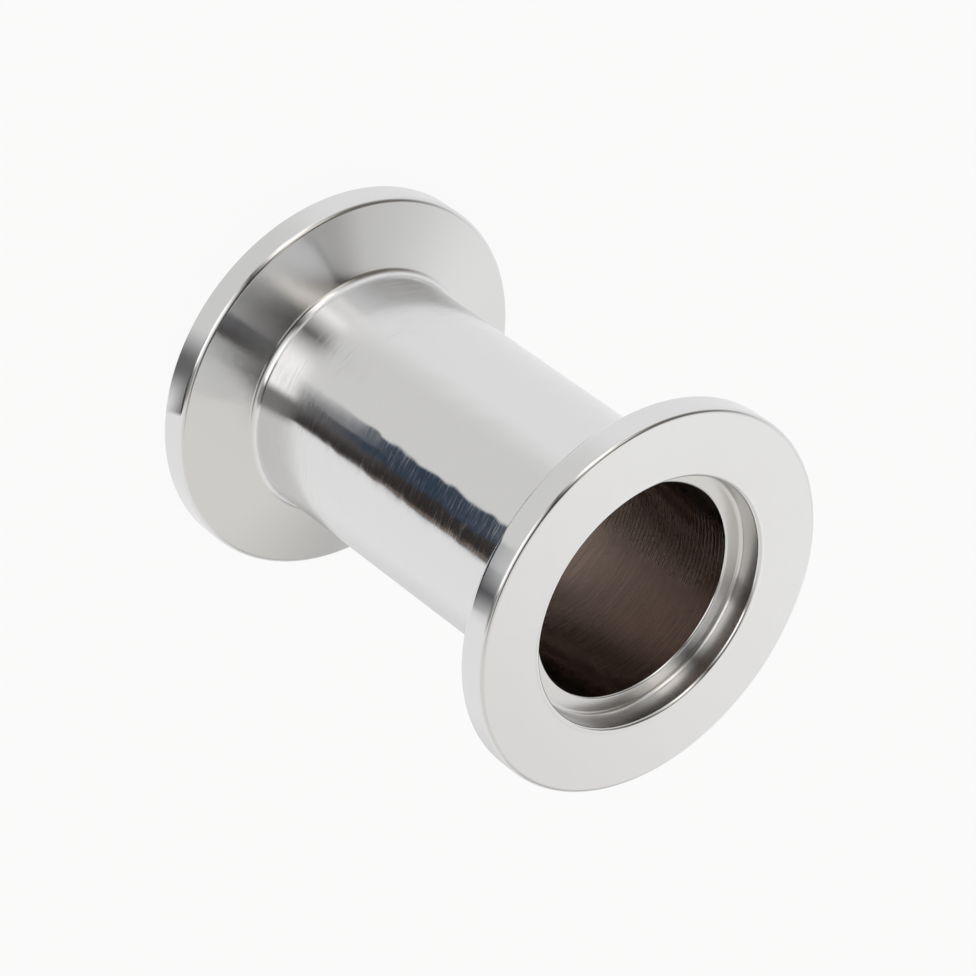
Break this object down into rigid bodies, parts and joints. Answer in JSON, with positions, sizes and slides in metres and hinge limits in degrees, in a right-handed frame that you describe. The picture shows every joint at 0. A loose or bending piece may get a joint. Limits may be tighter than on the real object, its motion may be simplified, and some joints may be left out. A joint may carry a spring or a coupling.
{
  "type": "flanged straight tube",
  "caption": "Short straight vacuum tube with a small clamp flange at each end: flat sealing face, centring recess, conical back and a clear through bore, polished stainless steel.",
  "frame": {"origin": "centre of the lower sealing face, which it stands on", "axes": "+Z along the tube's axis, up through the bore; the part is the same all the way round, so +X and +Y are free"},
  "size_m": [0.04, 0.04, 0.05],
  "materials": {
    "stainless_steel": "turned and polished close to a mirror outside; fine turning marks left in the bore"
  },
  "bodies": {
    "root": {"flanged_tube": "stainless_steel"}
  },
  "joints": []
}
